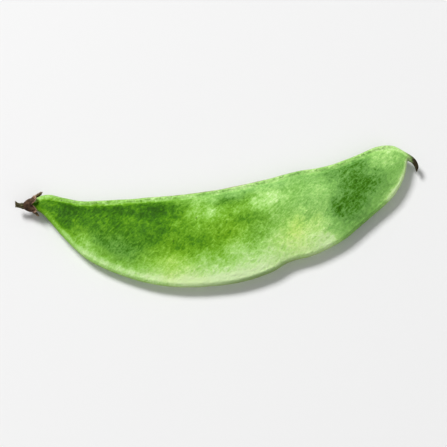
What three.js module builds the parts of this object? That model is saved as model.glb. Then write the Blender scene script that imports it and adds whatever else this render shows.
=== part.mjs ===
// A picked hyacinth bean pod, lying on its side on a flat surface.
// Millimetres. +X runs from the stalk to the beak, +Y towards the crest seam, +Z up.

import * as THREE from 'three';

// The pod. Each station is one slice across it, from the end of the neck to the tip of the beak:
// where its two seams lie seen from above, how thick the pod is there, and how high the seams
// stand above the surface that the pod lies on.
const STATIONS = [
  { crest: [-55.6, 8.6], belly: [-55.6, 5.8], thick: 2.6, height: 3.3 },
  { crest: [-53.8, 8.9], belly: [-53.8, 5.3], thick: 2.8, height: 3.3 },
  { crest: [-52.2, 9.5], belly: [-52.3, 4.2], thick: 3.2, height: 3.3 },
  { crest: [-49.6, 9.7], belly: [-49.9, 0.8], thick: 3.8, height: 3.2 },
  { crest: [-46.0, 8.5], belly: [-46.2, -4.8], thick: 4.4, height: 3.1 },
  { crest: [-41.2, 6.8], belly: [-40.4, -11.8], thick: 5.1, height: 3.0 },
  { crest: [-34.0, 6.0], belly: [-32.0, -17.4], thick: 5.9, height: 3.0 },
  { crest: [-24.0, 5.4], belly: [-21.5, -22.0], thick: 6.6, height: 3.0 },
  { crest: [-13.0, 4.9], belly: [-10.0, -24.1], thick: 6.9, height: 3.1 },
  { crest: [-2.0, 5.0], belly: [1.0, -24.2], thick: 7.0, height: 3.1 },
  { crest: [7.5, 5.8], belly: [10.0, -22.6], thick: 6.9, height: 3.1 },
  { crest: [15.0, 6.7], belly: [16.2, -20.0], thick: 6.7, height: 3.1 },
  { crest: [22.5, 7.9], belly: [23.0, -18.9], thick: 6.5, height: 3.0 },
  { crest: [31.5, 8.4], belly: [32.0, -15.6], thick: 6.1, height: 3.0 },
  { crest: [40.5, 10.6], belly: [41.5, -9.4], thick: 5.3, height: 3.0 },
  { crest: [47.4, 12.6], belly: [49.4, -3.7], thick: 4.3, height: 3.2 },
  { crest: [51.6, 12.2], belly: [53.1, 1.3], thick: 3.3, height: 3.4 },
  { crest: [54.2, 10.2], belly: [54.5, 4.8], thick: 2.6, height: 3.5 },
  { crest: [56.0, 8.6], belly: [55.2, 6.6], thick: 2.0, height: 3.5 },
  { crest: [57.3, 7.3], belly: [56.0, 6.2], thick: 1.6, height: 3.4 },
  { crest: [58.0, 5.8], belly: [56.7, 5.3], thick: 1.3, height: 3.2 },
  { crest: [58.1, 4.4], belly: [57.0, 4.3], thick: 1.0, height: 3.0 },
  { crest: [57.6, 3.0], belly: [56.9, 3.2], thick: 0.7, height: 2.8 },
];
const SLICES = 72;
const SIDES = 36;

// The slice. A narrow slice is round and a wide one is a lens with a thin rim.
const ROUND_WIDTH = 5;
const LENS_WIDTH = 15;
const LENS_POWER = 1.4;

// The raised cord along each seam, and how far in from the edge it stands.
const CREST_CORD = 0.35;
const BELLY_CORD = 0.2;
const CORD_INSET = 0.9;
const CORD_SPREAD = 0.6;

// The seeds push the walls out a little, in a row nearer the crest than the belly.
const SEED_X = [-33, -18.5, -3, 12, 26];
const SEED_ACROSS = 0.16;
const SEED_RISE = 0.45;
const SEED_LONG = 6;
const SEED_WIDE = 5;

// The dried calyx: a cup round the neck with five withered lobes.
const NECK_Y = 7.2;
const NECK_Z = 3.3;
const CALYX_FLAT = 0.88;
const CALYX_SIDES = 40;
const LOBES = 5;
const LOBE_LENGTH = 1.0;
const LOBE_FLARE = 0.3;
const CALYX_OUTSIDE = [
  { x: -57.3, radius: 1.0 },
  { x: -56.9, radius: 1.8 },
  { x: -55.8, radius: 2.4 },
  { x: -54.6, radius: 2.7 },
  { x: -53.7, radius: 2.95, lobe: 1 },
];
const CALYX_INSIDE = [
  { x: -53.8, radius: 2.55, lobe: 1 },
  { x: -54.6, radius: 2.25 },
  { x: -55.7, radius: 1.95 },
  { x: -56.0, radius: 1.2 },
];

// The stub of stalk behind the calyx, broken off a little askew.
const STALK_SIDES = 16;
const STALK = [
  { centre: [-59.8, 8.0, 3.7], radius: 0.75 },
  { centre: [-59.5, 7.9, 3.7], radius: 0.95 },
  { centre: [-58.7, 7.5, 3.5], radius: 0.85 },
  { centre: [-58.0, 7.3, 3.4], radius: 0.95 },
  { centre: [-57.7, 7.2, 3.4], radius: 0.9 },
];

const POD_GREEN = new THREE.MeshStandardMaterial({ color: 0x86bd4c, roughness: 0.6, metalness: 0 });
const CALYX_BROWN = new THREE.MeshStandardMaterial({ color: 0x4a3524, roughness: 0.85, metalness: 0 });
const STALK_BROWN = new THREE.MeshStandardMaterial({ color: 0x5c5230, roughness: 0.8, metalness: 0 });

// A closed skin over rings of points. The rings follow one another along +X and each one turns
// from +Y towards +Z; the middles of the first and last ring close the ends.
function skin(rings) {
  const sides = rings[0].length;
  const vertices = rings.flat();
  const triangles = [];
  const at = (ring, side) => ring * sides + (side % sides);
  for (let ring = 0; ring + 1 < rings.length; ring += 1) {
    for (let side = 0; side < sides; side += 1) {
      triangles.push(at(ring, side), at(ring, side + 1), at(ring + 1, side + 1));
      triangles.push(at(ring, side), at(ring + 1, side + 1), at(ring + 1, side));
    }
  }
  const firstPole = vertices.push(middle(rings[0])) - 1;
  const lastPole = vertices.push(middle(rings.at(-1))) - 1;
  for (let side = 0; side < sides; side += 1) {
    triangles.push(firstPole, at(0, side + 1), at(0, side));
    triangles.push(lastPole, at(rings.length - 1, side), at(rings.length - 1, side + 1));
  }
  const geometry = new THREE.BufferGeometry().setFromPoints(vertices);
  geometry.setIndex(triangles);
  geometry.computeVertexNormals();
  return geometry;
}

function middle(points) {
  const sum = points.reduce((total, point) => total.add(point), new THREE.Vector3());
  return sum.divideScalar(points.length);
}

// Half the pod's thickness at a point of a slice. across runs from -1 on the belly seam to 1 on
// the crest seam, and along is the point's place on the pod's length.
function halfThickness(across, along, width, thick) {
  const flatness = THREE.MathUtils.smoothstep(width, ROUND_WIDTH, LENS_WIDTH);
  const power = THREE.MathUtils.lerp(1, LENS_POWER, flatness) / 2;
  const lens = (thick / 2) * Math.max(0, 1 - across * across) ** power;
  const fromEdge = (1 - Math.abs(across)) * (width / 2);
  const cordHeight = across > 0 ? CREST_CORD : BELLY_CORD;
  const cord = flatness * cordHeight * Math.exp(-(((fromEdge - CORD_INSET) / CORD_SPREAD) ** 2));
  const fromSeedRow = ((across - SEED_ACROSS) * width) / 2 / SEED_WIDE;
  let seeds = 0;
  for (const seedX of SEED_X) {
    seeds += SEED_RISE * Math.exp(-(((along - seedX) / SEED_LONG) ** 2) - fromSeedRow ** 2);
  }
  return Math.abs(across) < 1 ? lens + cord + seeds * flatness : 0;
}

function podGeometry() {
  const seam = (side) => STATIONS.map((station) => new THREE.Vector3(...station[side], station.height));
  const crest = new THREE.CatmullRomCurve3(seam('crest'), false, 'centripetal');
  const belly = new THREE.CatmullRomCurve3(seam('belly'), false, 'centripetal');
  const thickness = new THREE.SplineCurve(STATIONS.map((station, i) => new THREE.Vector2(i, station.thick)));
  const rings = [];
  for (let slice = 0; slice <= SLICES; slice += 1) {
    const t = slice / SLICES;
    const crestPoint = crest.getPoint(t);
    const bellyPoint = belly.getPoint(t);
    const thick = thickness.getPoint(t).y;
    const width = crestPoint.distanceTo(bellyPoint);
    const ring = [];
    for (let side = 0; side < SIDES; side += 1) {
      const turn = (2 * Math.PI * side) / SIDES;
      const across = side % (SIDES / 2) === 0 ? Math.sign(Math.cos(turn)) : Math.cos(turn);
      const point = bellyPoint.clone().lerp(crestPoint, (across + 1) / 2);
      point.z += Math.sign(Math.sin(turn)) * halfThickness(across, point.x, width, thick);
      point.z = Math.max(point.z, 0);
      ring.push(point);
    }
    rings.push(ring);
  }
  return skin(rings);
}

function calyxGeometry() {
  const rings = [...CALYX_OUTSIDE, ...CALYX_INSIDE].map(({ x, radius, lobe = 0 }) => {
    const ring = [];
    for (let side = 0; side < CALYX_SIDES; side += 1) {
      const turn = (2 * Math.PI * side) / CALYX_SIDES;
      const reach = lobe * Math.abs(Math.cos((LOBES * turn) / 2));
      const r = radius + LOBE_FLARE * reach;
      const y = NECK_Y + r * Math.cos(turn);
      const z = NECK_Z + r * CALYX_FLAT * Math.sin(turn);
      ring.push(new THREE.Vector3(x + LOBE_LENGTH * reach, y, z));
    }
    return ring;
  });
  return skin(rings);
}

function stalkGeometry() {
  const rings = STALK.map(({ centre, radius }) => {
    const ring = [];
    for (let side = 0; side < STALK_SIDES; side += 1) {
      const turn = (2 * Math.PI * side) / STALK_SIDES;
      const point = new THREE.Vector3(0, radius * Math.cos(turn), radius * Math.sin(turn));
      ring.push(point.add(new THREE.Vector3(...centre)));
    }
    return ring;
  });
  return skin(rings);
}

function piece(name, geometry, material) {
  const mesh = new THREE.Mesh(geometry, material);
  mesh.name = name;
  return mesh;
}

const bean = new THREE.Group();
bean.name = 'hyacinth_bean';
bean.add(piece('pod', podGeometry(), POD_GREEN));
bean.add(piece('calyx', calyxGeometry(), CALYX_BROWN));
bean.add(piece('stalk', stalkGeometry(), STALK_BROWN));

// The origin is under the middle of the whole object, on the surface that it lies on.
const centre = new THREE.Box3().setFromObject(bean, true).getCenter(new THREE.Vector3());
bean.position.set(-centre.x, -centre.y, 0);

export default bean;
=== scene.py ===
import math

import bpy
import numpy as np
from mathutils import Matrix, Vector


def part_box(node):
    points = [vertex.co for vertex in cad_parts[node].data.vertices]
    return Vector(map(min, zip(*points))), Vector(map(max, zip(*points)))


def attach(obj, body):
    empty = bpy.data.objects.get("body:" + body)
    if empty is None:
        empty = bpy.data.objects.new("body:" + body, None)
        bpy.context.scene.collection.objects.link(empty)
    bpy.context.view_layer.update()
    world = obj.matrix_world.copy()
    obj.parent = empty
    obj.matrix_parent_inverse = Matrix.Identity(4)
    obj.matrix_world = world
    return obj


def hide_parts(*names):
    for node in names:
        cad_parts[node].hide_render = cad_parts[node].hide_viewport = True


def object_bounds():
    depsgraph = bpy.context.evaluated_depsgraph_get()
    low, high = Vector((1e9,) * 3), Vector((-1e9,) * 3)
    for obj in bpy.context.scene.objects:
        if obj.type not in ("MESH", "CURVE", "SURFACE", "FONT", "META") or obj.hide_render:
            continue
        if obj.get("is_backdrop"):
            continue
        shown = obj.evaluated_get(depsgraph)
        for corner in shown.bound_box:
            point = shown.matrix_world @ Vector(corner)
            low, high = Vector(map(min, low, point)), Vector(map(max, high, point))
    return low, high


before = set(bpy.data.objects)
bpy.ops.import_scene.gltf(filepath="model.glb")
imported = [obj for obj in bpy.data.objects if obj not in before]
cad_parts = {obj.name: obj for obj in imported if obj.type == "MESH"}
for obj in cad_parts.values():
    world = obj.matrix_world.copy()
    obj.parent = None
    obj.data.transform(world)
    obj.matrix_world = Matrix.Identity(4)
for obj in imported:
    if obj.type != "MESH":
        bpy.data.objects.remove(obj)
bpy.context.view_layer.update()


# The pod: two thin fleshy walls grown together along two seams, with a narrow neck at the stalk end
# and a short hooked beak at the other. It is one piece, and is made by skinning slices that run from
# the belly seam to the crest seam.

MM = 0.001
# Where each seam lies seen from above, how thick the pod is, and how high the seams stand, in mm.
#            crest seam      belly seam     thick  height
STATIONS = [
    ((-55.6, 8.6), (-55.6, 5.8), 2.6, 3.3),
    ((-53.8, 8.9), (-53.8, 5.3), 2.8, 3.3),
    ((-52.2, 9.5), (-52.3, 4.2), 3.2, 3.3),
    ((-49.6, 9.7), (-49.9, 0.8), 3.8, 3.2),
    ((-46.0, 8.5), (-46.2, -4.8), 4.4, 3.1),
    ((-41.2, 6.8), (-40.4, -11.8), 5.1, 3.0),
    ((-34.0, 6.0), (-32.0, -17.4), 5.9, 3.0),
    ((-24.0, 5.4), (-21.5, -22.0), 6.6, 3.0),
    ((-13.0, 4.9), (-10.0, -24.1), 6.9, 3.1),
    ((-2.0, 5.0), (1.0, -24.2), 7.0, 3.1),
    ((7.5, 5.8), (10.0, -22.6), 6.9, 3.1),
    ((15.0, 6.7), (16.2, -20.0), 6.7, 3.1),
    ((22.5, 7.9), (23.0, -18.9), 6.5, 3.0),
    ((31.5, 8.4), (32.0, -15.6), 6.1, 3.0),
    ((40.5, 10.6), (41.5, -9.4), 5.3, 3.0),
    ((47.4, 12.6), (49.4, -3.7), 4.3, 3.2),
    ((51.6, 12.2), (53.1, 1.3), 3.3, 3.4),
    ((54.2, 10.2), (54.5, 4.8), 2.6, 3.5),
    ((56.0, 8.6), (55.2, 6.6), 2.0, 3.5),
    ((57.3, 7.3), (56.0, 6.2), 1.6, 3.4),
    ((58.0, 5.8), (56.7, 5.3), 1.3, 3.2),
    ((58.1, 4.4), (57.0, 4.3), 1.0, 3.0),
    ((57.6, 3.0), (56.9, 3.2), 0.7, 2.8),
]
# The slices that the skin is made of, and the points round each.
SLICES = 480
SIDES = 200
# The beak's end stays this far inside the box of the solid that the pod stands for.
SLACK = 0.006 * MM
# The rounded tip of the beak: its length, its slices, and how near its end the rounding stops, as a
# share of that length.
TIP = 1.4 * MM
TIP_SLICES = 16
TIP_END = 0.02
TURN = 2 * math.pi


def through(points, steps=60):
    """A centripetal Catmull-Rom curve through the points."""
    points = np.array(points, float)
    padded = np.vstack([2 * points[0] - points[1], points, 2 * points[-1] - points[-2]])
    spans = []
    for a, b, c, d in zip(padded, padded[1:], padded[2:], padded[3:]):
        knots = [0.0]
        for start, end in ((a, b), (b, c), (c, d)):
            knots.append(knots[-1] + np.linalg.norm(end - start) ** 0.5)
        t = np.linspace(knots[1], knots[2], steps, endpoint=False)[:, None]

        def mix(p, q, i, j):
            return ((knots[j] - t) * p + (t - knots[i]) * q) / (knots[j] - knots[i])

        ab, bc, cd = mix(a, b, 0, 1), mix(b, c, 1, 2), mix(c, d, 2, 3)
        spans.append(mix(mix(ab, bc, 0, 2), mix(bc, cd, 1, 3), 1, 2))
    return np.vstack([*spans, points[-1:]])


def seams_mesh():
    """The crest seam's points, then the belly seam's, evenly spaced and in the frame's own place."""
    crest = through([(*s[0], s[3]) for s in STATIONS]) * MM
    belly = through([(*s[1], s[3]) for s in STATIONS]) * MM
    thick = through([(i, s[2]) for i, s in enumerate(STATIONS)])[:, 1] * MM
    low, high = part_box("pod")
    shift = np.array([high.x - crest[:, 0].max() - SLACK, high.y - crest[:, 1].max(), 0])
    rows = np.hstack([crest + shift, belly + shift, thick[:, None]])
    centre = (rows[:, :3] + rows[:, 3:6]) / 2
    travelled = np.r_[0, np.linalg.norm(np.diff(centre, axis=0), axis=1).cumsum()]
    # The slices are even, but closer together over the tip of the beak, which is rounded off.
    tip_start = travelled[-1] - TIP
    closing_slices = 2
    places = np.r_[
        np.linspace(0, tip_start, SLICES - closing_slices - TIP_SLICES, endpoint=False),
        np.linspace(tip_start, travelled[-1], TIP_SLICES),
    ]
    rows = np.array([np.interp(places, travelled, column) for column in rows.T]).T
    narrow = np.sqrt(np.clip((travelled[-1] - places) / TIP, TIP_END, 1))[:, None]
    centre = (rows[:, :3] + rows[:, 3:6]) / 2
    rows[:, :3] = centre + (rows[:, :3] - centre) * narrow
    rows[:, 3:6] = centre + (rows[:, 3:6] - centre) * narrow
    rows[:, 6:] *= narrow
    # The first and last slices shrink to a point, which closes the ends.
    middles = (rows[[0, -1], :3] + rows[[0, -1], 3:6]) / 2
    first, last = ([*point, *point, 0] for point in middles)
    rows = np.vstack([first, rows, last])
    mesh = bpy.data.meshes.new("seams")
    mesh.from_pydata(np.vstack([rows[:, :3], rows[:, 3:6]]).tolist(), [], [])
    thickness = mesh.attributes.new("thick", "FLOAT", "POINT")
    thickness.data.foreach_set("value", np.r_[rows[:, 6], rows[:, 6]].astype(np.float32))
    return mesh


class Wire:
    """An output of a node. Operators on it add Math nodes, and node() adds any other node."""

    def __init__(self, tree, socket=None):
        self.tree = tree
        self.socket = socket

    def node(self, kind, settings=None, inputs=None, output=0):
        """One of a new node's outputs. Its settings come first, then its inputs' values or links."""
        made = self.tree.nodes.new(kind)
        for name, value in (settings or {}).items():
            if name == "stops":
                for _ in value[2:]:
                    made.color_ramp.elements.new(0.5)
                for element, (place, shade) in zip(made.color_ramp.elements, value):
                    element.position = place
                    element.color = shade
            else:
                setattr(made, name, value)
        for name, value in (inputs or {}).items():
            if isinstance(value, Wire):
                self.tree.links.new(value.socket, made.inputs[name])
            else:
                made.inputs[name].default_value = value
        return Wire(self.tree, made.outputs[output])

    def math(self, operation, *others):
        """A Math node on this value, or a Vector Math node if any of them is a vector or colour."""
        values = (self, *others)
        flat = all(not isinstance(v, Wire) or v.socket.type in ("VALUE", "INT") for v in values)
        if flat:
            return self.node("ShaderNodeMath", {"operation": operation}, dict(enumerate(values)))
        values = [v if isinstance(v, (Wire, tuple)) else (v, v, v) for v in values]
        return self.node("ShaderNodeVectorMath", {"operation": operation}, dict(enumerate(values)))

    def __add__(self, other):
        return self.math("ADD", other)

    __radd__ = __add__

    def __sub__(self, other):
        return self.math("SUBTRACT", other)

    def __rsub__(self, other):
        return (self * -1).math("ADD", other)

    def __mul__(self, other):
        return self.math("MULTIPLY", other)

    __rmul__ = __mul__

    def __truediv__(self, other):
        return self.math("DIVIDE", other)

    def __pow__(self, other):
        return self.math("POWER", other)

    def part(self, axis):
        """One number of a vector: 0, 1 or 2 for X, Y or Z."""
        return self.node("ShaderNodeSeparateXYZ", None, {0: self}, axis)

    def step(self, low, high):
        """Smoothly from 0 at low to 1 at high."""
        settings = {"interpolation_type": "SMOOTHSTEP"}
        return self.node("ShaderNodeMapRange", settings, {"Value": self, 1: low, 2: high})

    def bell(self, centre, spread):
        """1 at centre, and less by a bell curve away from it."""
        away = (self - centre) / spread
        return (away * away * -1).math("EXPONENT")

    def combed(self, angle, stretch):
        """This place turned about Z and squeezed, so that a noise on it makes strokes along the angle."""
        about_z = {"rotation_type": "Z_AXIS"}
        turned = self.node("ShaderNodeVectorRotate", about_z, {"Vector": self, "Angle": -angle})
        return turned * (1 / stretch, 1, 1)

    def noise(self, size, detail=2.0, rough=0.5):
        """Noise from 0 to 1 whose lumps are about that size, at this place."""
        inputs = {"Vector": self, "Scale": 1 / size, "Detail": detail, "Roughness": rough}
        return self.node("ShaderNodeTexNoise", None, inputs)

    def bent(self, size, push):
        """This place pushed about by lumps of noise, so that straight lines on it wander."""
        inputs = {"Vector": self, "Scale": 1 / size, "Detail": 1.0}
        return self + (self.node("ShaderNodeTexNoise", None, inputs, "Color") - 0.5) * push

    def borders(self, size, width):
        """1 on the borders between cells of that size, falling to 0 over a share of the size."""
        inputs = {"Vector": self, "Scale": 1 / size}
        away = self.node("ShaderNodeTexVoronoi", {"feature": "DISTANCE_TO_EDGE"}, inputs)
        return 1 - away.step(0.0, width)

    def cells(self, size):
        """The distance from the middle of the nearest of many round cells of that size."""
        inputs = {"Vector": self, "Scale": 1 / size, "Smoothness": 0.3}
        return self.node("ShaderNodeTexVoronoi", {"feature": "SMOOTH_F1"}, inputs)


def new_tree(name, sizes):
    """A Geometry Nodes tree with one named input for each size, and a wire for each of them."""
    tree = bpy.data.node_groups.new(name, "GeometryNodeTree")
    tree.interface.new_socket("Geometry", in_out="INPUT", socket_type="NodeSocketGeometry")
    kinds = {int: "NodeSocketInt", float: "NodeSocketFloat", bpy.types.Material: "NodeSocketMaterial"}
    for size, value in sizes.items():
        tree.interface.new_socket(size, in_out="INPUT", socket_type=kinds[type(value)])
    tree.interface.new_socket("Geometry", in_out="OUTPUT", socket_type="NodeSocketGeometry")
    sockets = tree.nodes.new("NodeGroupInput").outputs
    return tree, {name: Wire(tree, sockets[name]) for name in ("Geometry", *sizes)}


def grown(name, start_mesh, tree, result, sizes):
    """Runs the tree on a mesh and returns the finished piece, a plain mesh."""
    tree.links.new(result.socket, tree.nodes.new("NodeGroupOutput").inputs[0])
    carrier = bpy.data.objects.new(name + "_start", start_mesh)
    bpy.context.scene.collection.objects.link(carrier)
    modifier = carrier.modifiers.new(tree.name, "NODES")
    modifier.node_group = tree
    for item in tree.interface.items_tree:
        if item.in_out == "INPUT" and item.name in sizes:
            modifier[item.identifier] = sizes[item.name]
    depsgraph = bpy.context.evaluated_depsgraph_get()
    mesh = bpy.data.meshes.new_from_object(carrier.evaluated_get(depsgraph), depsgraph=depsgraph)
    mesh.name = name
    # Set Material leaves an empty slot before its own, so the slots are made afresh.
    mesh.materials.clear()
    mesh.materials.append(sizes["Material"])
    bpy.data.objects.remove(carrier)
    piece = bpy.data.objects.new(name, mesh)
    bpy.context.scene.collection.objects.link(piece)
    return piece


def new_material(name):
    """A material, its shader node and a wire to start its pattern from."""
    material = bpy.data.materials.new(name)
    material.use_nodes = True
    shader = material.node_tree.nodes["Principled BSDF"]
    return material, shader, Wire(material.node_tree)


def feed(shader, sockets):
    """Sets each of the shader's sockets to a value, or links it to a wire."""
    for name, value in sockets.items():
        if isinstance(value, Wire):
            value.tree.links.new(value.socket, shader.inputs[name])
        else:
            shader.inputs[name].default_value = value


def colour(wire, factor, first, second):
    """The first colour where the factor is 0 and the second where it is 1."""
    # A Mix node takes colours at its sockets 6 and 7, and gives one at its output 2.
    settings = {"data_type": "RGBA"}
    return wire.node("ShaderNodeMix", settings, {0: factor, 6: first, 7: second}, 2)


# Which way the fine streaks of the skin run, from the belly towards the crest and the beak.
STROKE_ANGLE = math.radians(42)
# From the darkest green to the palest, in even steps. Paleness is a place on this scale.
GREENS = [
    (0.022, 0.095, 0.001),
    (0.040, 0.160, 0.002),
    (0.074, 0.245, 0.003),
    (0.132, 0.345, 0.007),
    (0.200, 0.470, 0.032),
    (0.302, 0.605, 0.100),
    (0.430, 0.740, 0.205),
    (0.600, 0.860, 0.360),
    (0.720, 0.930, 0.480),
]
# The paleness at the stalk end, and how it changes along the pod: where a change starts and ends, in
# mm, and by how much.
PALENESS = 1.95
# Its drop from 27 to 35 mm is partly a darker green of the skin and partly painted cast shadow.
PALER_ALONG = [(-20, -7, 1.6), (5, 17, 0.8), (27, 35, -2.1), (41, 51, 1.9)]
# The same for how much paler the band beside the belly seam is.
BAND = 0.6
# Its drop from 34 to 42 mm is partly a darker green of the skin and partly painted cast shadow.
BAND_ALONG = [(-52, -42, 3.1), (-32, -14, 0.6), (9, 15, -1.3), (34, 42, -1.8)]
# Soft clouds: place along the pod in mm, place across it from -1 at the belly seam to 1 at the crest
# seam, reach along and across, and how much paler.
CLOUDS = [
    (-46, -0.50, 3, 0.50, -1.2),
    (-43, 0.20, 4, 0.70, -1.2),
    (-40, -0.30, 4, 0.35, 2.2),
    (-40, 0.60, 5, 0.20, -0.8),
    (-33, -0.60, 4, 0.30, -0.8),
    (-30, 0.62, 5, 0.16, -0.8),
    (-18, -0.45, 5, 0.35, 1.7),
    (-18, 0.60, 6, 0.18, -1.5),
    (-12, 0.60, 3, 0.20, -0.9),
    (-9, -0.15, 6, 0.25, -1.0),
    (-7, -0.50, 5, 0.30, -0.5),
    (-5, 0.45, 5, 0.20, 1.6),
    (-3, 0.85, 11, 0.15, 1.9),
    (2, 0.72, 3.5, 0.15, -2.0),
    (3, -0.28, 3, 0.16, 1.8),
    (8, 0.12, 5, 0.18, -0.9),
    (13.5, 0.50, 5, 0.28, 2.3),
    (20, -0.30, 8, 0.30, 1.6),
    (30, 0.35, 4, 0.30, 1.5),
    (29, -0.75, 4, 0.30, 0.6),
    # These two dark clouds are partly a darker green of the skin and partly painted cast shadow.
    (40, -0.10, 6, 0.60, -0.4),
    (36.5, -0.60, 4.5, 0.35, -1.2),
    (44, -0.80, 3, 0.25, 0.8),
    # This dark cloud is partly a darker green of the skin and partly painted cast shadow.
    (46, -0.20, 4, 0.45, -0.7),
    (49, 0.45, 5, 0.40, 1.8),
    (50, 0.80, 5, 0.30, 1.2),
]
# Where the skin is a yellower, brighter green: place and reach in the same way, and what each colour
# is multiplied by.
LIME_CLOUDS = [
    (-40, 0.10, 5, 0.25),
    (-16, -0.45, 7, 0.40),
    (0, 0.00, 5, 0.25),
    (20, -0.40, 6, 0.40),
]
LIME = (1.05, 1.0, 0.64)
# The places of the clouds and bands drift by up to half of this, along in metres and across.
DRIFT_ALONG = 11 * MM
DRIFT_ACROSS = 0.45
# How many steps of paleness each of the fine markings covers.
PATCHES_PALER = 3.8
MOTTLE_PALER = 3.2
SPECKLE_PALER = 3.0
STROKES_PALER = 4.2
GRAIN_PALER = 1.6
VEINS_PALER = 0.55
TWIGS_PALER = 0.3
PORES_DARKER = 0.9
# How much paler the rim of the nose and the ridge beside the belly seam are, and how much darker the
# painted shade in the groove beside the crest cord is.
NOSE_RIM_PALER = 2.2
RIDGE_PALER = 1.6
GROOVE_SHADE_DARKER = 0.6
# The paleness of the cord along the crest, how much that varies, and how far the cord keeps to it.
CREST_PALENESS = 6.2
CREST_UNEVEN = 5.0
CREST_STRENGTH = 0.85
# How much of the skin's own green a full bloom hides. Towards the nose the bloom is partly painted bluish
# shade.
BLOOM_AND_SHADE_COVER = 0.20
# Colours over the greens.
# The bloom's colour: partly a waxy dust and partly a painted bluish cast of shade.
BLOOM_AND_SHADE_TINT = (0.30, 0.55, 0.35, 1)
SPECK = (0.05, 0.07, 0.015, 1)
UNDER_RIM = (0.12, 0.24, 0.04, 1)
SEAM = (0.20, 0.20, 0.08, 1)
RUSTY_SEAM = (0.30, 0.20, 0.12, 1)
BEAK = (0.035, 0.026, 0.012, 1)
# How high the bumps of the skin stand.
RELIEF = 0.36 * MM


def skin_paleness(place, across, gap, marks):
    """How pale the skin is: clouds and bands, partly painted cast shadow near the nose, the fine markings
    over them, the seams' own tones and painted shade in the crest groove.
    """
    along = place.part(0)
    # The clouds and bands have ragged borders, because their places drift a little.
    broad = place.noise(5 * MM, 3.0, 0.6)
    drift = (place + (0.2, 0.6, 0)).noise(5 * MM, 3.0, 0.6)
    x = along + (broad - 0.5) * DRIFT_ALONG
    side = across + (drift - 0.5) * DRIFT_ACROSS
    paleness = PALENESS
    for low, high, amount in PALER_ALONG:
        paleness = x.step(low * MM, high * MM) * amount + paleness
    for cloud_x, cloud_side, reach, spread, amount in CLOUDS:
        cloud = x.bell(cloud_x * MM, reach * MM) * side.bell(cloud_side, spread)
        paleness = paleness + cloud * amount
    band = BAND
    for low, high, amount in BAND_ALONG:
        band = along.step(low * MM, high * MM) * amount + band
    belly = (side * -1).step(0.15, 1.0)
    on_crest = across.step(0.0, 0.1)

    # The patches are calmer towards the nose, and all the markings fade towards the belly.
    calm = 1 - along.step(20 * MM, 36 * MM) * 0.45
    broad_marks = calm * (marks["patches"] - 0.5) * PATCHES_PALER + (marks["mottle"] - 0.5) * MOTTLE_PALER
    fine_marks = (marks["speckle"] - 0.5) * SPECKLE_PALER + (marks["strokes"] - 0.5) * STROKES_PALER
    lines = marks["veins"] * VEINS_PALER + marks["twigs"] * TWIGS_PALER
    lines = lines - marks["pores"] * PORES_DARKER + 0.1
    paleness = paleness + band * belly + (broad_marks + fine_marks + lines) * (1 - belly * 0.45)
    paleness = paleness + (marks["grain"] - 0.5) * GRAIN_PALER

    nose_rim = (1 - gap.step(0.8 * MM, 3.0 * MM)) * along.step(44 * MM, 50 * MM)
    ridge = gap.bell(1.7 * MM, 1.1 * MM) * belly * (1 - along.step(4 * MM, 10 * MM))
    # The groove beside the crest cord is darkened as painted shade.
    groove = gap.bell(2.4 * MM, 0.6 * MM) * on_crest
    paleness = paleness + nose_rim * NOSE_RIM_PALER + ridge * RIDGE_PALER - groove * GROOVE_SHADE_DARKER
    ragged_gap = gap + (marks["mottle"] - 0.5) * 3.2 * MM
    crest_band = (1 - ragged_gap.step(1.0 * MM, 3.2 * MM)) * on_crest
    crest_marks = (marks["speckle"] - 0.5) + (marks["patches"] - 0.5)
    crest_paleness = CREST_PALENESS + crest_marks * CREST_UNEVEN
    paleness = paleness + (crest_paleness - paleness) * crest_band * CREST_STRENGTH
    return paleness, x, side, belly, on_crest


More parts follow.
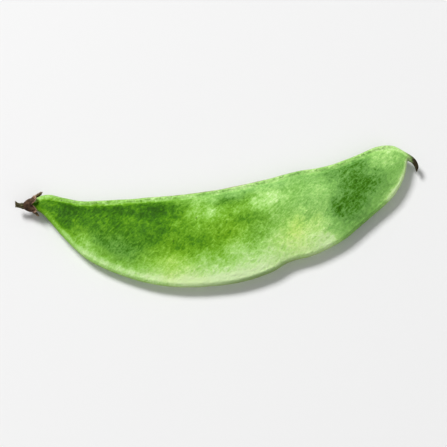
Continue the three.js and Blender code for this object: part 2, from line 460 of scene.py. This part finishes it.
def bean_skin():
    """Matt green skin under a thin bloom, partly painted bluish shade towards the nose: pale at the belly
    seam and darkest under the crest.
    """
    material, shader, start = new_material("bean_skin")
    place = start.node("ShaderNodeTexCoord", None, None, "Object")
    across = start.node("ShaderNodeAttribute", {"attribute_name": "across"}, None, "Fac")
    gap = start.node("ShaderNodeAttribute", {"attribute_name": "seam_gap"}, None, "Fac")
    along = place.part(0)

    # The fine markings, from broad to fine. Each noise starts from a place of its own.
    mottle = (place + (0.1, 0.5, 0)).noise(1.3 * MM, 5.0, 0.62)
    wandering = place.bent(2.5 * MM, 1.6 * MM)
    marks = {
        "patches": (place + (0.3, 0.1, 0)).noise(3.5 * MM, 4.0, 0.6),
        "mottle": mottle,
        "speckle": (place + (0.5, 0.3, 0)).noise(0.6 * MM, 3.0, 0.65),
        "strokes": place.combed(STROKE_ANGLE, 3).noise(0.5 * MM, 4.0, 0.6),
        "grain": place.noise(0.16 * MM, 2.0, 0.6),
        "veins": wandering.combed(STROKE_ANGLE, 3.2).borders(1.7 * MM, 0.10),
        "twigs": wandering.combed(STROKE_ANGLE, 1.8).borders(0.75 * MM, 0.14),
        "pores": place.cells(0.24 * MM),
    }
    paleness, x, side, belly, on_crest = skin_paleness(place, across, gap, marks)
    last = len(GREENS) - 1
    stops = [(i / last, (*green, 1)) for i, green in enumerate(GREENS)]
    green = start.node("ShaderNodeValToRGB", {"stops": stops}, {"Fac": paleness / last})
    for cloud_x, cloud_side, reach, spread in LIME_CLOUDS:
        cloud = x.bell(cloud_x * MM, reach * MM) * side.bell(cloud_side, spread)
        green = colour(start, cloud * paleness.step(1.0, 3.0), green, green * LIME)
    # The bloom is a waxy dust, and towards the nose it is also a painted bluish cast of shade. It shows
    # on the middle greens: near the nose, under the crest and in a patch low down near the stalk.
    dusty_and_shaded = x.step(0, 30 * MM) + side.bell(0.9, 0.25) * along.bell(6 * MM, 16 * MM)
    dusty_and_shaded = dusty_and_shaded + side.bell(-0.35, 0.35) * x.bell(-31 * MM, 7 * MM) * 0.6
    bloom_and_shade_tint = dusty_and_shaded * paleness.step(1.2, 3.0) * (1 - paleness.step(4.5, 6.5)) * BLOOM_AND_SHADE_COVER
    green = colour(start, bloom_and_shade_tint, green, BLOOM_AND_SHADE_TINT)

    # Scattered dark specks, the shade under the belly's rim, the seams' lines and the dry beak.
    specks = 1 - (place + (0.4, 0.4, 0)).bent(0.35 * MM, 0.5 * MM).cells(4.5 * MM).step(0.02, 0.07)
    green = colour(start, specks * 0.75, green, SPECK)
    under_rim = (1 - gap.step(0.3 * MM, 1.2 * MM)) * belly * along.bell(8 * MM, 16 * MM)
    green = colour(start, under_rim * 0.7, green, UNDER_RIM)
    rust = on_crest * along.bell(2 * MM, 15 * MM)
    seam_line = 1 - (gap - rust * 0.3 * MM).step(0.08 * MM, 0.32 * MM)
    seam_line = seam_line * (mottle * 1.5 - 0.1) * (on_crest * 0.5 + 0.5)
    green = colour(start, seam_line, green, colour(start, rust, SEAM, RUSTY_SEAM))
    beak = (along + (mottle - 0.5) * 3 * MM).step(55 * MM, 58 * MM)
    green = colour(start, beak, green, BEAK)

    lumps = mottle * 0.6 + marks["speckle"] * 0.3 + marks["strokes"] * 0.3 + marks["grain"] * 0.05
    lumps = lumps + marks["veins"] * 0.06 + marks["twigs"] * 0.03 - marks["pores"] * 0.06
    bump = start.node("ShaderNodeBump", None, {"Strength": 1.0, "Distance": RELIEF, "Height": lumps})
    feed(shader, {
        "Base Color": green,
        "Roughness": 0.42 + mottle * 0.25,
        "Normal": bump,
        "Specular IOR Level": 0.08,
        "Subsurface Weight": 0.05,
        "Subsurface Radius": (0.6, 1.0, 0.3),
        "Subsurface Scale": 1.0 * MM,
        "Sheen Weight": 0.02,
        "Sheen Roughness": 0.5,
        "Sheen Tint": (0.8, 1.0, 0.6, 1),
    })
    return material


# A slice up to the round width is round, and one beyond the lens width is a lens, whose shape the two
# powers give: a lower one is blunter at the seam. The cords stand a little way in from the seams.
POD = {
    "Slices": SLICES,
    "Sides": SIDES,
    "Round width": 5 * MM,
    "Lens width": 15 * MM,
    "Relief room": 0.12 * MM,
    "Crest power": 0.70,
    "Belly power": 0.58,
    "Crest cord": 0.50 * MM,
    "Crest groove": 0.30 * MM,
    "Belly cord": 0.16 * MM,
    "Cord inset": 0.85 * MM,
    "Cord spread": 0.45 * MM,
    "Pebble rise": 0.22 * MM,
    "Seed rise": 0.45 * MM,
    "Seed long": 6 * MM,
    "Seed wide": 5 * MM,
    "Wall waves": 0.5 * MM,
    "Dents": 0.35 * MM,
    "Edge waves": 0.35 * MM,
    "Material": bean_skin(),
}
# Where the seeds lie along the pod, in mm, and across it.
SEED_X = [-33, -18.5, -3, 12, 26]
SEED_ACROSS = 0.16
# The sizes of the lumps in the walls, from the broad waves to the knobs along the cords.
WAVE = 13 * MM
EDGE_WAVE = 5 * MM
DENT = 4 * MM
PEBBLE = 1.1 * MM
KNOB = 0.8 * MM
# How far the points of a slice crowd towards the seams: 0 is not at all, and 1 as round a circle.
CROWDING = 0.6


def pod_tree():
    """The pod's walls: a grid wrapped round the slices, with cords, seeds and unevenness added."""
    tree, size = new_tree("pod_walls", POD)
    seams = size["Geometry"]
    index = seams.node("GeometryNodeInputIndex")
    number = (index / (size["Sides"] + 1)).math("FLOOR")
    turn = (index - number * (size["Sides"] + 1)) / size["Sides"] * TURN
    # The sides of a slice lie closer together near the seams.
    evenly = (turn / math.pi - 1).math("ABSOLUTE") * 2 - 1
    across = turn.math("COSINE") * CROWDING + evenly * (1 - CROWDING)
    upper = turn.math("SINE").math("SIGN")

    position = seams.node("GeometryNodeInputPosition")
    sample = {"data_type": "FLOAT_VECTOR"}
    crest = seams.node("GeometryNodeSampleIndex", sample, {0: seams, 1: position, 2: number})
    on_belly = {0: seams, 1: position, 2: number + size["Slices"]}
    belly = seams.node("GeometryNodeSampleIndex", sample, on_belly)
    plain = {"data_type": "FLOAT"}
    thickness = seams.node("GeometryNodeInputNamedAttribute", plain, {"Name": "thick"})
    thick = seams.node("GeometryNodeSampleIndex", plain, {0: seams, 1: thickness, 2: number})
    slice_line = crest - belly
    width = slice_line.node("ShaderNodeVectorMath", {"operation": "LENGTH"}, {0: slice_line}, "Value")
    outward = slice_line.node("ShaderNodeVectorMath", {"operation": "NORMALIZE"}, {0: slice_line})
    flat = width.step(size["Round width"], size["Lens width"])
    gap = (1 - across.math("ABSOLUTE")) * width / 2
    on_crest = across.math("GREATER_THAN", 0.0)

    crest_side = across.step(-0.6, 0.6)
    full_power = size["Belly power"] + crest_side * (size["Crest power"] - size["Belly power"])
    power = 0.5 + flat * (full_power - 0.5)
    lens = (thick / 2 - size["Relief room"]) * (1 - across * across).math("MAXIMUM", 0.0) ** power
    middle = belly + slice_line * ((across + 1) / 2)
    rise = seams.node("ShaderNodeCombineXYZ", None, {2: upper * lens})
    spot = middle + rise

    knobs = 1 - spot.combed(0, 1.5).cells(KNOB) * 1.4
    cord_height = size["Crest cord"] * on_crest + size["Belly cord"] * (1 - on_crest)
    cord = cord_height * gap.bell(size["Cord inset"], size["Cord spread"]) * (0.45 + knobs)
    groove = size["Crest groove"] * on_crest * gap.bell(size["Cord inset"] * 2.3, size["Cord spread"])
    seeds = 0.0
    for seed_x in SEED_X:
        seeds = middle.part(0).bell(seed_x * MM, size["Seed long"]) + seeds
    seeds = seeds * ((across - SEED_ACROSS) * width / 2).bell(0.0, size["Seed wide"])
    waves = (spot.noise(WAVE, 1.0) - 0.5) * size["Wall waves"] * (1 - across ** 4)
    dents = (spot.noise(DENT, 1.0) - 0.5) * size["Dents"]
    inner = gap.step(size["Cord inset"], size["Cord inset"] * 3)
    pebbles = spot.noise(PEBBLE, 2.0) - 0.5
    fine = inner * (dents + pebbles * size["Pebble rise"])
    relief = flat * (cord - groove + seeds * size["Seed rise"] + waves + fine)
    half = lens + relief * gap.step(0.0, size["Cord inset"] / 3)

    edge = across.math("ABSOLUTE") ** 6
    wobble = (middle.noise(EDGE_WAVE, 2.0) - 0.75) * size["Edge waves"] * edge * flat
    push = outward * (wobble * (on_crest * 2 - 1))
    lift = seams.node("ShaderNodeCombineXYZ", None, {2: upper * half})
    end = middle + push + lift
    # No point goes below the surface that the pod lies on.
    height = end.part(2).math("MAXIMUM", 0.0)
    settled = seams.node("ShaderNodeCombineXYZ", None, {0: end.part(0), 1: end.part(1), 2: height})

    counts = {"Vertices X": size["Slices"], "Vertices Y": size["Sides"] + 1}
    grid = seams.node("GeometryNodeMeshGrid", None, counts)
    for name, value in {"across": across, "seam_gap": gap}.items():
        grid = grid.node(
            "GeometryNodeStoreNamedAttribute",
            {"data_type": "FLOAT", "domain": "POINT"},
            {"Geometry": grid, "Name": name, "Value": value},
        )
    skin = grid.node("GeometryNodeSetPosition", None, {"Geometry": grid, "Position": settled})
    skin = skin.node("GeometryNodeMergeByDistance", None, {"Geometry": skin, "Distance": 1e-6})
    skin = skin.node("GeometryNodeFlipFaces", None, {"Mesh": skin})
    skin = skin.node("GeometryNodeSetShadeSmooth", None, {"Geometry": skin})
    skin = skin.node("GeometryNodeRealizeInstances", None, {"Geometry": skin})
    finish = {"Geometry": skin, "Material": size["Material"]}
    return tree, skin.node("GeometryNodeSetMaterial", None, finish)


pod = grown("pod_walls", seams_mesh(), *pod_tree(), POD)
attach(pod, "root")
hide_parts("pod")


# The warts of the crest seam: small hard pimples in a crowded row on both sides of the seam. They
# grow out of the walls, and they are scattered on the finished walls beside the seam.

# They thin out over this length at both ends of the band that they grow in.
WARTS_FADE = 4 * MM
# The band lies beside the seam, from the first to the last along the pod. The smallest and the
# largest are radii, the height is a share of the radius, and the ball of a wart is sunk by a share
# of that height.
WARTS = {
    "Per square metre": 10e6,
    "Band": 1.9 * MM,
    "First": -53 * MM,
    "Last": 54.5 * MM,
    "Smallest": 0.08 * MM,
    "Largest": 0.27 * MM,
    "Height": 0.85,
    "Sunk": 0.55,
    "Seed": 4,
    "Material": POD["Material"],
}


def warts_tree():
    """Domes scattered on the walls beside the crest seam, in clumps, and smaller away from it."""
    tree, size = new_tree("crest_warts", WARTS)
    walls = size["Geometry"]
    named = {"data_type": "FLOAT"}
    across = walls.node("GeometryNodeInputNamedAttribute", named, {"Name": "across"})
    gap = walls.node("GeometryNodeInputNamedAttribute", named, {"Name": "seam_gap"})
    along = walls.node("GeometryNodeInputPosition").part(0)
    near = (1 - gap.step(size["Band"] * 0.4, size["Band"])) * across.math("GREATER_THAN", 0.0)
    near = near * gap.step(size["Band"] * 0.1, size["Band"] * 0.3)
    clumps = walls.node("GeometryNodeInputPosition").noise(2 * MM, 2.0)
    near = near * clumps.step(0.35, 0.65)
    near = near * along.step(size["First"], size["First"] + WARTS_FADE)
    near = near * (1 - along.step(size["Last"] - WARTS_FADE, size["Last"]))
    scatter = {"Mesh": walls, "Density": size["Per square metre"] * near, "Seed": size["Seed"]}
    points = walls.node("GeometryNodeDistributePointsOnFaces", None, scatter)
    turned = Wire(tree, points.socket.node.outputs["Rotation"])
    width = {2: size["Smallest"], 3: size["Largest"], "Seed": size["Seed"]}
    width = walls.node("FunctionNodeRandomValue", {"data_type": "FLOAT"}, width, 1)
    width = width * (1 - gap.step(size["Band"] * 0.5, size["Band"]) * 0.5)
    long_wide_high = {0: width * 1.3, 1: width, 2: width * size["Height"]}
    sizes = walls.node("ShaderNodeCombineXYZ", None, long_wide_high)
    wart = walls.node("GeometryNodeMeshUVSphere", None, {"Segments": 9, "Rings": 6, "Radius": 1.0})
    # Each wart is a dome: the lower part of its ball is sunk in the wall.
    sunk = walls.node("ShaderNodeCombineXYZ", None, {2: size["Sunk"] * -1})
    wart = wart.node("GeometryNodeTransform", None, {"Geometry": wart, "Translation": sunk})
    wart = wart.node("GeometryNodeSetShadeSmooth", None, {"Geometry": wart})
    placing = {"Points": points, "Instance": wart, "Rotation": turned, "Scale": sizes}
    warts = walls.node("GeometryNodeInstanceOnPoints", None, placing)
    warts = warts.node("GeometryNodeRealizeInstances", None, {"Geometry": warts})
    finish = {"Geometry": warts, "Material": size["Material"]}
    return tree, warts.node("GeometryNodeSetMaterial", None, finish)


warts = grown("crest_warts", pod.data.copy(), *warts_tree(), WARTS)
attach(warts, "root")


# The calyx: the dry papery cup of the flower, still clasping the neck of the pod. It tapers down to
# the stalk. Its five lobes are withered, wrinkled and curled, and the top one arches over the crest.

# Angle round the neck from the crest, half width, length and outward curl of each lobe.
LOBES = [
    (0, 34, 4.3 * MM, 1.0 * MM),
    (68, 36, 2.3 * MM, 0.9 * MM),
    (140, 34, 1.9 * MM, 0.5 * MM),
    (212, 36, 2.2 * MM, 0.9 * MM),
    (290, 38, 2.0 * MM, 0.6 * MM),
]
CUP_SIDES = 200
CUP_ROWS = 30
LOBE_ROWS = 26
# How thick the dry tissue is, and how long it is between two lobes.
PAPER = 0.11 * MM
WEB = 0.15 * MM
# The middle of the neck, and where the cup starts and where its lobes part.
calyx_low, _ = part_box("calyx")
NECK = Vector((calyx_low.x + 3.35 * MM, 12.93 * MM, 3.3 * MM))
CUP_START = NECK.x - 3.3 * MM
CUP_RIM = NECK.x - 1.0 * MM
# The cup's radius at its start and at its rim, and its height as a share of its width.
CUP_NARROW = 0.85 * MM
CUP_WIDE = 2.0 * MM
CUP_FLAT = 0.92
# From the rim on the calyx follows the neck, which is wider across the pod, over this length.
NECK_LENGTH = 4 * MM
NECK_WIDER = 0.9 * MM
NECK_DROP = 0.3 * MM
# How far the lobes lift off the neck, and how deep the folds are at the rim and at the lobes' tips.
LOBE_LIFT = 0.30 * MM
RIM_FOLDS = 0.09 * MM
TIP_FOLDS = 0.25 * MM


def paper_skin():
    """Dead calyx tissue: dark brown, dry and veined, paler towards the tips of the lobes."""
    material, shader, start = new_material("calyx_paper")
    place = start.node("ShaderNodeTexCoord", None, None, "Object")
    edge = start.node("ShaderNodeAttribute", {"attribute_name": "edge"}, None, "Fac")
    turn = start.node("ShaderNodeAttribute", {"attribute_name": "turn"}, None, "Fac")
    along = {0: turn * 3 * MM, 1: place.part(0) * 0.1, 2: 0.0}
    veins = start.node("ShaderNodeCombineXYZ", None, along).noise(0.14 * MM, 2.0, 0.6)
    blotch = place.noise(0.9 * MM, 3.0, 0.6)
    fleck = place.noise(0.2 * MM, 2.0, 0.6)
    dry = 0.30 + edge.step(0.55, 1.0) * 0.55 + (veins - 0.5) * 1.5 + (blotch - 0.5) * 1.4
    browns = [
        (0.00, (0.020, 0.011, 0.006, 1)),
        (0.35, (0.070, 0.036, 0.018, 1)),
        (0.70, (0.230, 0.130, 0.075, 1)),
        (1.00, (0.520, 0.360, 0.270, 1)),
    ]
    brown = dry.node("ShaderNodeValToRGB", {"stops": browns}, {"Fac": dry})
    wrinkles = {"Strength": 0.7, "Distance": 0.08 * MM, "Height": veins * 0.6 + fleck * 0.4}
    feed(shader, {
        "Base Color": brown,
        "Roughness": 0.7 + fleck * 0.2,
        "Normal": start.node("ShaderNodeBump", None, wrinkles),
        "Specular IOR Level": 0.2,
    })
    return material


def lobed(turn):
    """How long the calyx is beyond its rim at each angle round the neck, and how far it curls out."""
    length = np.full_like(turn, WEB)
    curl = np.zeros_like(turn)
    for middle, half, long, out in LOBES:
        away = np.abs((np.degrees(turn) - middle + 180) % 360 - 180) / half
        share = np.clip(1 - away ** 1.6, 0, None) ** 0.75
        length = np.maximum(length, long * share)
        curl = np.maximum(curl, out * share)
    return length, curl


def waver(*places):
    """Smooth numbers from -1 to 1 that vary with the places given, in no visible order."""
    total = 0
    for i, place in enumerate(places):
        slow = np.sin(place * (1.0 + 0.31 * i) + 1.7 * i)
        quick = np.cos(place * (2.3 + 0.17 * i) + 0.9)
        total = total + slow * quick
    return total / len(places)


def closed_skin(name, rings, layers, material):
    """A closed mesh over rings of points, whose ends are closed by a point in their middle."""
    count, sides = rings.shape[:2]
    points = np.vstack([rings.reshape(-1, 3), rings[0].mean(axis=0), rings[-1].mean(axis=0)])
    faces = []
    for side in range(sides):
        after = (side + 1) % sides
        for ring in range(count - 1):
            near, far = ring * sides, (ring + 1) * sides
            faces.append((near + side, near + after, far + after, far + side))
        faces.append((count * sides, after, side))
        last = (count - 1) * sides
        faces.append((count * sides + 1, last + side, last + after))
    mesh = bpy.data.meshes.new(name)
    mesh.from_pydata(points.tolist(), [], faces)
    for layer_name, values in layers.items():
        layer = mesh.attributes.new(layer_name, "FLOAT", "POINT")
        ends = [values[0].mean(), values[-1].mean()]
        layer.data.foreach_set("value", np.r_[values.ravel(), ends].astype(np.float32))
    mesh.shade_smooth()
    mesh.materials.append(material)
    return mesh


def calyx_mesh():
    """The cup and its lobes as one sheet, out along its outside and back along its inside."""
    turn = np.linspace(0, TURN, CUP_SIDES, endpoint=False)
    length, curl = lobed(turn)
    length = length * (1 + 0.10 * waver(turn * 9, turn * 17))
    rows = []
    for i in range(CUP_ROWS):
        # The cup widens from the stalk to the neck that it clasps.
        t = i / (CUP_ROWS - 1)
        radius = CUP_NARROW + (CUP_WIDE - CUP_NARROW) * math.sin(t * math.pi / 2) ** 0.8
        x = CUP_START + (CUP_RIM - CUP_START) * t
        folds = RIM_FOLDS * t * waver(turn * 11, turn * 7 + t * 3)
        rows.append((np.full_like(turn, x), radius + folds, np.full_like(turn, t * 0.5)))
    for i in range(1, LOBE_ROWS + 1):
        # Each lobe runs on along the neck, lifts off it and curls out at its tip.
        t = i / LOBE_ROWS
        x = CUP_RIM + length * (t - 0.22 * t ** 4)
        lift = LOBE_LIFT * t + curl * t ** 3
        folds = RIM_FOLDS + (TIP_FOLDS - RIM_FOLDS) * t
        folds = folds * waver(turn * 11, turn * 7 + 3, turn * 19 + t * 4)
        rows.append((x, CUP_WIDE + lift + folds, np.full_like(turn, 0.5 + 0.5 * t)))
    x, radius, edge = (np.array(column) for column in zip(*rows))
    # The neck under the cup is wider across the pod than through it, and widens away from the stalk.
    widen = np.clip((x - CUP_RIM) / NECK_LENGTH, 0, 1)
    y = NECK.y - NECK_DROP * widen + (radius + NECK_WIDER * widen) * np.cos(turn)
    z = NECK.z + radius * CUP_FLAT * np.sin(turn)
    outer = np.stack([x, y, z], axis=-1)
    forward = np.gradient(outer, axis=0)
    around = np.roll(outer, -1, axis=1) - np.roll(outer, 1, axis=1)
    normal = np.cross(around, forward)
    normal /= np.linalg.norm(normal, axis=-1, keepdims=True)
    # The sheet is thinner towards the tips of the lobes.
    inner = outer - normal * PAPER * (1 - 0.6 * edge[..., None] ** 4)
    both = np.concatenate([outer, inner[::-1]])
    layers = {
        "edge": np.concatenate([edge, edge[::-1]]),
        "turn": np.tile(np.cos(turn * 5), (len(both), 1)),
    }
    return closed_skin("calyx_cup", both, layers, paper_skin())


calyx = bpy.data.objects.new("calyx_cup", calyx_mesh())
bpy.context.scene.collection.objects.link(calyx)
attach(calyx, "root")
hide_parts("calyx")


# The stalk: a stub of the flower stalk, ribbed and woody, which swells where it carries the calyx. It
# was torn off the plant, and its end is ragged and hollow.

# Its middle line and radius, from the torn end to inside the calyx, in mm from the middle of the neck.
STALK = [
    ((-5.60, 0.76, 0.40), 0.88),
    ((-5.35, 0.68, 0.40), 0.84),
    ((-4.90, 0.42, 0.28), 0.72),
    ((-4.20, 0.20, 0.16), 0.74),
    ((-3.70, 0.08, 0.10), 0.90),
    ((-3.35, 0.02, 0.06), 0.86),
    ((-2.90, 0.00, 0.00), 0.60),
]
STALK_RIBS = 7
STALK_SIDES = 84
# How deep the torn end is hollow, and the rings down into it: depth and width as shares of that and
# of the end's radius.
HOLLOW = 0.5 * MM
HOLLOW_RINGS = [(1.0, 0.25), (0.9, 0.50), (0.5, 0.62), (0.15, 0.78)]
# How far the torn edge is ragged and askew, and over how many rings that fades along the stalk.
RAGGED = 0.16 * MM
ASKEW = 0.10 * MM
TORN_RINGS = 2.5


def stalk_skin():
    """Dry olive bark with brown streaks along it, and torn pale fibres round the broken end."""
    material, shader, start = new_material("stalk_bark")
    place = start.node("ShaderNodeTexCoord", None, None, "Object")
    rib = start.node("ShaderNodeAttribute", {"attribute_name": "rib"}, None, "Fac")
    torn = start.node("ShaderNodeAttribute", {"attribute_name": "torn"}, None, "Fac")
    streaks = (place * (0.12, 1, 1)).noise(0.16 * MM, 3.0, 0.65)
    blotch = place.noise(0.7 * MM, 3.0, 0.6)
    dry = 0.35 + rib * 0.22 + (streaks - 0.5) * 1.3 + (blotch - 0.5) * 1.2
    barks = [
        (0.00, (0.020, 0.016, 0.008, 1)),
        (0.40, (0.075, 0.062, 0.024, 1)),
        (0.75, (0.190, 0.175, 0.070, 1)),
        (1.00, (0.340, 0.310, 0.150, 1)),
    ]
    bark = dry.node("ShaderNodeValToRGB", {"stops": barks}, {"Fac": dry})
    bark = colour(start, torn * (0.4 + streaks * 0.7), bark, (0.33, 0.24, 0.13, 1))
    fibres = {"Strength": 0.7, "Distance": 0.08 * MM, "Height": streaks}
    feed(shader, {
        "Base Color": bark,
        "Roughness": 0.65 + blotch * 0.25,
        "Normal": start.node("ShaderNodeBump", None, fibres),
        "Specular IOR Level": 0.25,
    })
    return material


def stalk_mesh():
    """Rings along the stalk, which start down in the hollow of its torn end."""
    turn = np.linspace(0, TURN, STALK_SIDES, endpoint=False)
    route = through([(*centre, radius) for centre, radius in STALK], 8) * MM
    route[:, :3] += NECK
    rib = np.cos(turn * STALK_RIBS + 0.5 * waver(turn * 3))
    ragged = RAGGED * waver(turn * 13, turn * 29) + ASKEW * np.cos(turn - 1.0)
    # Each ring has a middle, a radius and a push along the stalk.
    rings, ribs, torns = [], [], []
    for depth, width in HOLLOW_RINGS:
        radius = np.full_like(turn, route[0, 3] * width)
        rings.append((route[0], radius, ragged * (1 - depth) + HOLLOW * depth))
        # The hollow of the torn end takes the darkest rib tone, as painted shade in the hollow.
        ribs.append(np.full_like(turn, -1))
        torns.append(np.full_like(turn, 1))
    for i, station in enumerate(route):
        fade = math.exp(-i / TORN_RINGS)
        wrinkles = 0.035 * waver(turn * 5 + i * 0.4, turn * 12 - i * 0.7)
        rings.append((station, station[3] * (1 + 0.07 * rib + wrinkles), ragged * fade))
        ribs.append(rib)
        torns.append(np.full_like(turn, fade))
    points = []
    for centre, radius, push in rings:
        x = centre[0] + push
        y = centre[1] + radius * np.cos(turn)
        z = centre[2] + radius * np.sin(turn)
        points.append(np.stack([x, y, z], axis=-1))
    layers = {"rib": np.array(ribs), "torn": np.array(torns)}
    return closed_skin("stalk_stub", np.array(points), layers, stalk_skin())


stalk = bpy.data.objects.new("stalk_stub", stalk_mesh())
bpy.context.scene.collection.objects.link(stalk)
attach(stalk, "root")
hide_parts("stalk")


# The stage: a wide pale matt floor for the pod to lie on, a soft lamp up behind its crest, a wider and
# weaker one in front, and an even white room round them. The camera looks down on the pod from the
# belly's side, a little from the stalk's end.

FLOOR_REACH = 3
FLOOR_WHITE = (0.85, 0.85, 0.85, 1)
ROOM_LIGHT = 0.24
# Each lamp's place, width in metres, and power in watts.
LAMPS = {
    "key": ((-1.08, 1.38, 1.98), 0.84, 68),
    "fill": ((0.9, -1.8, 1.8), 2.1, 12.6),
}
AZIMUTH = math.radians(-7.5)
ELEVATION = math.radians(68)
CAMERA_DISTANCE = 0.356
CAMERA_LENS = 100

floor_mesh = bpy.data.meshes.new("floor")
corners = [(x * FLOOR_REACH, y * FLOOR_REACH, 0) for x, y in ((-1, -1), (1, -1), (1, 1), (-1, 1))]
floor_mesh.from_pydata(corners, [], [(0, 1, 2, 3)])
floor = bpy.data.objects.new("floor", floor_mesh)
bpy.context.scene.collection.objects.link(floor)
floor_material, floor_shader, _ = new_material("floor_white")
feed(floor_shader, {"Base Color": FLOOR_WHITE, "Roughness": 0.9})
floor_mesh.materials.append(floor_material)
floor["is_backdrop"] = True

for name, (place, width, watts) in LAMPS.items():
    light = bpy.data.lights.new(name, "AREA")
    light.size = width
    light.energy = watts
    lamp = bpy.data.objects.new(name, light)
    bpy.context.scene.collection.objects.link(lamp)
    # A lamp shines along its own -Z, so turning +Z away from the middle points it there.
    lamp.location = place
    lamp.rotation_mode = "QUATERNION"
    lamp.rotation_quaternion = lamp.location.to_track_quat("Z", "Y")

room = bpy.data.worlds.new("studio")
room.use_nodes = True
background = room.node_tree.nodes["Background"]
background.inputs["Color"].default_value = (1, 1, 1, 1)
background.inputs["Strength"].default_value = ROOM_LIGHT
bpy.context.scene.world = room

camera_data = bpy.data.cameras.new("camera")
camera_data.lens = CAMERA_LENS
camera = bpy.data.objects.new("camera", camera_data)
bpy.context.scene.collection.objects.link(camera)
low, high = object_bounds()
back = Vector((
    math.sin(AZIMUTH) * math.cos(ELEVATION),
    -math.cos(AZIMUTH) * math.cos(ELEVATION),
    math.sin(ELEVATION),
))
camera.location = (low + high) / 2 + back * CAMERA_DISTANCE
camera.rotation_mode = "QUATERNION"
camera.rotation_quaternion = back.to_track_quat("Z", "Y")
bpy.context.scene.camera = camera
bpy.context.scene.view_settings.view_transform = "Standard"
